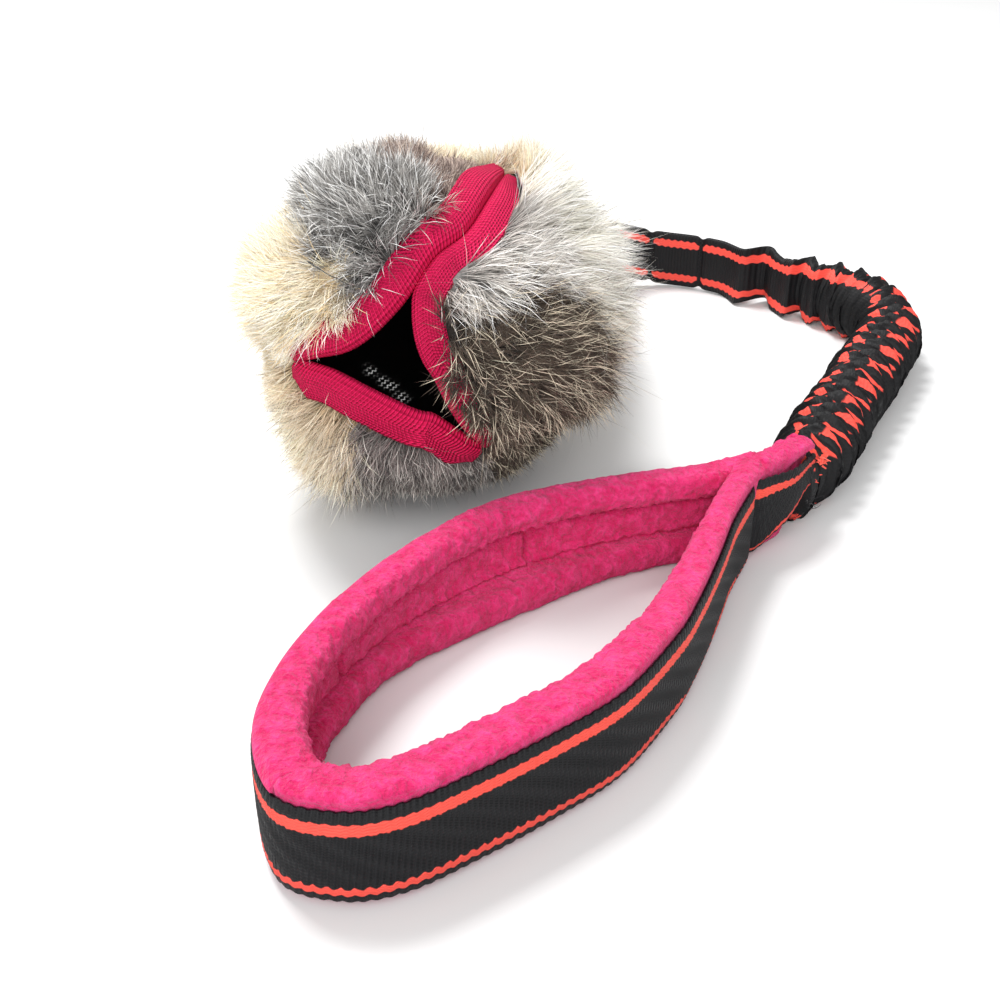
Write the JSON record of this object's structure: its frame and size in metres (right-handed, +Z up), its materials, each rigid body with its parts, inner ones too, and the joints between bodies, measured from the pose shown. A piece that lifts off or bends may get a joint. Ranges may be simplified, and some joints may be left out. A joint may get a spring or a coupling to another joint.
{
  "type": "bungee tug toy",
  "caption": "Dog tug toy: fur-covered pouch with a petalled, tape-bound mouth on a gathered bungee strap that ends in a fleece-lined hand loop.",
  "frame": {"origin": "under the middle of the toy's box, on the ground it lies on", "axes": "+Z up, +X to the right and +Y away from the viewer of the picture; the toy lies on its side with the mouth turned to -Y"},
  "size_m": [0.255, 0.3842, 0.1196],
  "materials": {
    "black_web": "woven webbing, matt",
    "pink_fleece": "deep pile fleece",
    "pink_tape": "herringbone twill tape",
    "black_thread": "sewing thread",
    "mesh": "open polyester mesh",
    "elastic": "flat woven elastic",
    "fur_grey": "grey natural fur on hide",
    "fur_cream": "cream natural fur on hide",
    "fur_white": "white and grey natural fur on hide",
    "fur_brown": "brown natural fur on hide",
    "fur_tan": "tan natural fur on hide"
  },
  "bodies": {
    "pouch": {"hide_rear": "fur_white", "lining_rear": "mesh", "strap_anchor": "black_web"},
    "petal_top": {"hide_grey_top": "fur_grey", "hide_cream_left": "fur_cream", "lining_top": "mesh", "tape_top": "pink_tape"},
    "petal_right": {"hide_white_right": "fur_white", "hide_brown_right": "fur_brown", "lining_right": "mesh", "tape_right": "pink_tape"},
    "petal_lower": {"hide_tan_lower": "fur_tan", "hide_grey_lower": "fur_grey", "lining_lower": "mesh", "tape_lower": "pink_tape"},
    "strap": {"strap_web_near": "black_web", "strap_web_far": "black_web", "elastic_upper": "elastic", "stitch_tail_bar": "black_thread", "stitch_elastic_bar": "black_thread"},
    "bungee": {"sleeve_web_near": "black_web", "sleeve_web_far": "black_web", "elastic_bend": "elastic"},
    "puller": {"elastic_lower": "elastic"},
    "handle": {"handle_web_end_near": "black_web", "handle_web_end_far": "black_web", "handle_fleece_tab": "pink_fleece", "strap_tongue": "black_web", "stitch_handle_box": "black_thread", "handle_web_bend": "black_web", "handle_fleece_bend": "pink_fleece"},
    "handle_near": {"handle_web_near": "black_web", "handle_fleece_near": "pink_fleece"},
    "handle_far": {"handle_web_far": "black_web", "handle_fleece_far": "pink_fleece"}
  },
  "joints": [
    {"name": "strap_swing", "type": "hinge", "parent": "pouch", "child": "strap", "pos_m": [-0.01467, 0.14307, 0.0341], "axis": [0, 0, 1], "range_deg": [0, 35]},
    {"name": "bungee_bend", "type": "hinge", "parent": "strap", "child": "bungee", "pos_m": [0.11313, 0.11461, 0.0131], "axis": [0, 0, 1], "range_deg": [0, 60]},
    {"name": "bungee_stretch", "type": "slide", "parent": "bungee", "child": "puller", "axis": [-0.4617, -0.887, 0], "range_m": [0, 0.05], "stiffness_N_per_m": 250},
    {"name": "handle_swing", "type": "hinge", "parent": "puller", "child": "handle", "pos_m": [0.05301, -0.02107, 0.0131], "axis": [0, 0, 1], "range_deg": [-2, 45]},
    {"name": "handle_near_squeeze", "type": "slide", "parent": "handle", "child": "handle_near", "axis": [-0.6534, 0.757, 0], "range_m": [-0.005, 0.013], "stiffness_N_per_m": 60},
    {"name": "handle_far_squeeze", "type": "slide", "parent": "handle", "child": "handle_far", "axis": [0.6534, -0.757, 0], "range_m": [-0.00325, 0.00845], "stiffness_N_per_m": 60},
    {"name": "petal_top_open", "type": "hinge", "parent": "pouch", "child": "petal_top", "pos_m": [-0.10515, 0.01704, 0.10085], "axis": [-0.7797, -0.277, -0.5615], "range_deg": [0, 22], "stiffness_Nm_per_rad": 0.15},
    {"name": "petal_right_open", "type": "hinge", "parent": "pouch", "child": "petal_right", "pos_m": [-0.00825, 0.00356, 0.05402], "axis": [0.0298, 0.3814, 0.9239], "range_deg": [0, 17.6], "stiffness_Nm_per_rad": 0.15},
    {"name": "petal_lower_open", "type": "hinge", "parent": "pouch", "child": "petal_lower", "pos_m": [-0.09401, -0.02054, 0.00777], "axis": [0.8977, -0.1207, -0.4237], "range_deg": [0, 13.2], "stiffness_Nm_per_rad": 0.15}
  ],
  "couplings": [
    {"joint": "handle_far_squeeze", "follows": "handle_near_squeeze", "ratio": 0.65},
    {"joint": "petal_right_open", "follows": "petal_top_open", "ratio": 0.8},
    {"joint": "petal_lower_open", "follows": "petal_top_open", "ratio": 0.6}
  ]
}
